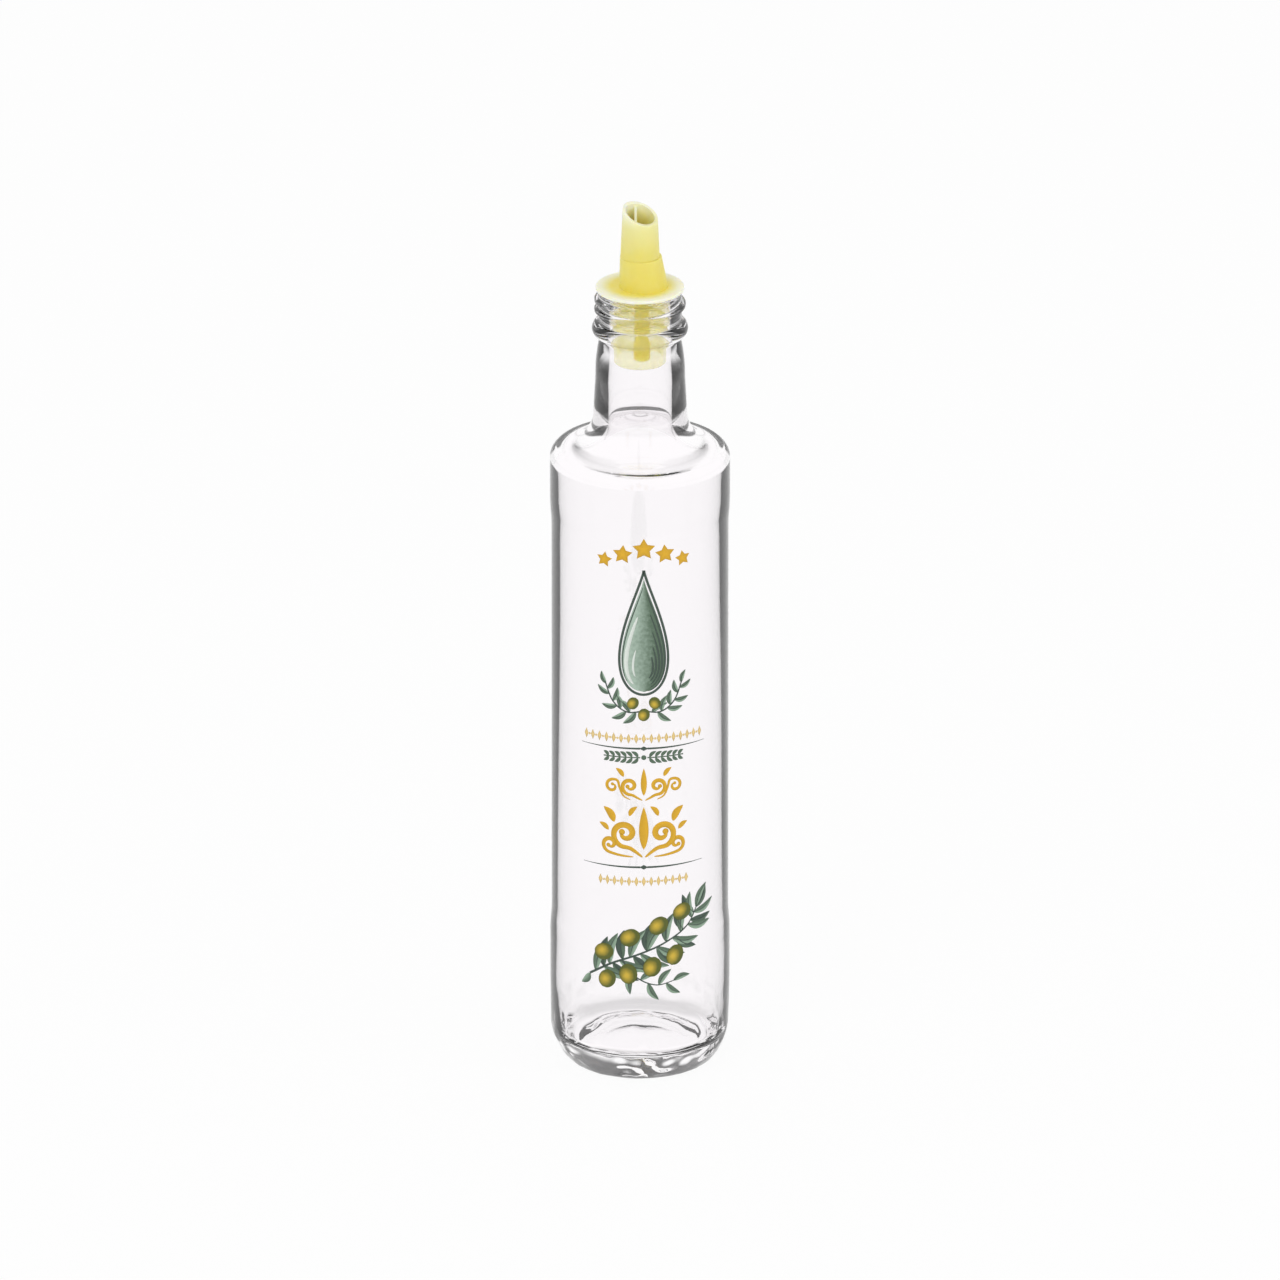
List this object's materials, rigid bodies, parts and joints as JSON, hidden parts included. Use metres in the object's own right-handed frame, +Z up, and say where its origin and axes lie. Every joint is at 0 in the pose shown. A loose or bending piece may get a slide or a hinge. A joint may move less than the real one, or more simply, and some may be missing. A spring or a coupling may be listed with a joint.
{
  "type": "oil cruet",
  "caption": "Slim round clear glass oil bottle with a screw-thread neck and a translucent yellow plastic pourer pushed into its mouth.",
  "frame": {"origin": "centre of the base, on the surface the bottle stands on", "axes": "+Z up along the bottle's axis, the printed front faces -Y, +X to the right seen from the front"},
  "size_m": [0.0616, 0.0616, 0.3111],
  "materials": {
    "clear_glass": "clear flint glass, smooth, with printed decoration on the front",
    "yellow_plastic": "translucent moulded plastic, soft gloss"
  },
  "bodies": {
    "root": {"bottle": "clear_glass", "pourer": "yellow_plastic"}
  },
  "joints": []
}
